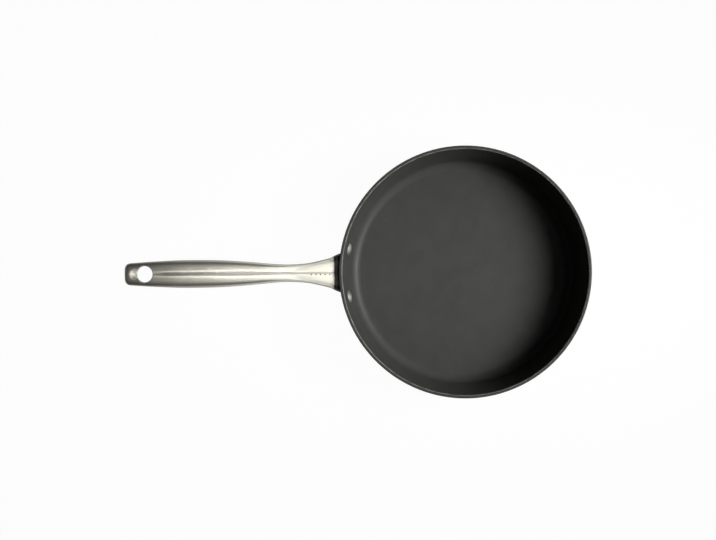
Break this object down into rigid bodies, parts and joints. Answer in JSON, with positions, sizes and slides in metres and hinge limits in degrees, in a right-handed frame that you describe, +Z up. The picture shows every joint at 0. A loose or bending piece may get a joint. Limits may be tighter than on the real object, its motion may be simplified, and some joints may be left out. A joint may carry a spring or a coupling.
{
  "type": "omelette pan",
  "caption": "Round frying pan with sloped walls, a riveted black bracket and a long hollow steel handle with a hanging hole.",
  "frame": {"origin": "on the pan's axis, at its underside", "axes": "+Z up along the pan's axis; the handle points along -X, so +X is away from the handle; +Y is on the left of a cook who holds the handle and faces the pan"},
  "size_m": [0.4754, 0.26, 0.0775],
  "materials": {
    "anodised": "hard anodised, matte dark grey",
    "bracket_black": "satin black coat on cast aluminium",
    "handle_steel": "brushed lengthwise",
    "rivet_metal": "satin",
    "screw_steel": "plain machined"
  },
  "bodies": {
    "root": {"pan_body": "anodised", "handle_bracket": "bracket_black", "handle": "handle_steel", "rivet_left": "rivet_metal", "rivet_right": "rivet_metal", "handle_screw": "screw_steel"}
  },
  "joints": []
}
